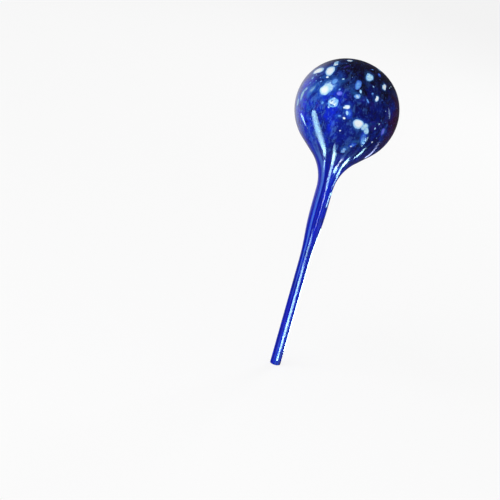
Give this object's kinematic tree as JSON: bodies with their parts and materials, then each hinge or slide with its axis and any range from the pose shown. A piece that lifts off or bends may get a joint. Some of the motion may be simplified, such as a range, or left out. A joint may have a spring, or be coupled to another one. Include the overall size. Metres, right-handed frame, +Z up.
{
  "type": "plant watering globe",
  "caption": "Hollow blown-glass bulb drawn out into a long tapered stem, open at its tip, that is filled with water and pushed upside down into potting soil.",
  "frame": {"origin": "centre of the open tip of the stem, which is the lowest point", "axes": "+Z runs up the stem's axis to the bulb; -Y faces the side that the picture shows; +X is its right"},
  "size_m": [0.09, 0.09, 0.2849],
  "materials": {
    "cobalt_glass": "polished, deep cobalt blue, with cloudy mottling and fine pale specks",
    "white_glass": "polished, opaque white with a cold blue edge",
    "pale_blue_glass": "polished, milky pale blue",
    "mid_blue_glass": "polished, clouded mid blue"
  },
  "bodies": {
    "root": {"glass_globe": "cobalt_glass", "mid_blue_chip_01": "mid_blue_glass", "mid_blue_chip_02": "mid_blue_glass", "mid_blue_chip_03": "mid_blue_glass", "mid_blue_chip_04": "mid_blue_glass", "mid_blue_chip_05": "mid_blue_glass", "mid_blue_chip_06": "mid_blue_glass", "mid_blue_chip_07": "mid_blue_glass", "mid_blue_chip_08": "mid_blue_glass", "mid_blue_chip_09": "mid_blue_glass", "pale_blue_chip_01": "pale_blue_glass", "pale_blue_chip_02": "pale_blue_glass", "pale_blue_chip_03": "pale_blue_glass", "pale_blue_chip_04": "pale_blue_glass", "pale_blue_chip_05": "pale_blue_glass", "pale_blue_chip_06": "pale_blue_glass", "pale_blue_chip_07": "pale_blue_glass", "pale_blue_chip_08": "pale_blue_glass", "pale_blue_chip_09": "pale_blue_glass", "pale_blue_chip_10": "pale_blue_glass", "pale_blue_chip_11": "pale_blue_glass", "white_chip_01": "white_glass", "white_chip_02": "white_glass", "white_chip_03": "white_glass", "white_chip_04": "white_glass", "white_chip_05": "white_glass", "white_chip_06": "white_glass", "white_chip_07": "white_glass", "white_chip_08": "white_glass", "white_chip_09": "white_glass", "white_chip_10": "white_glass", "white_chip_11": "white_glass", "white_chip_12": "white_glass", "white_chip_13": "white_glass", "white_chip_14": "white_glass"}
  },
  "joints": []
}
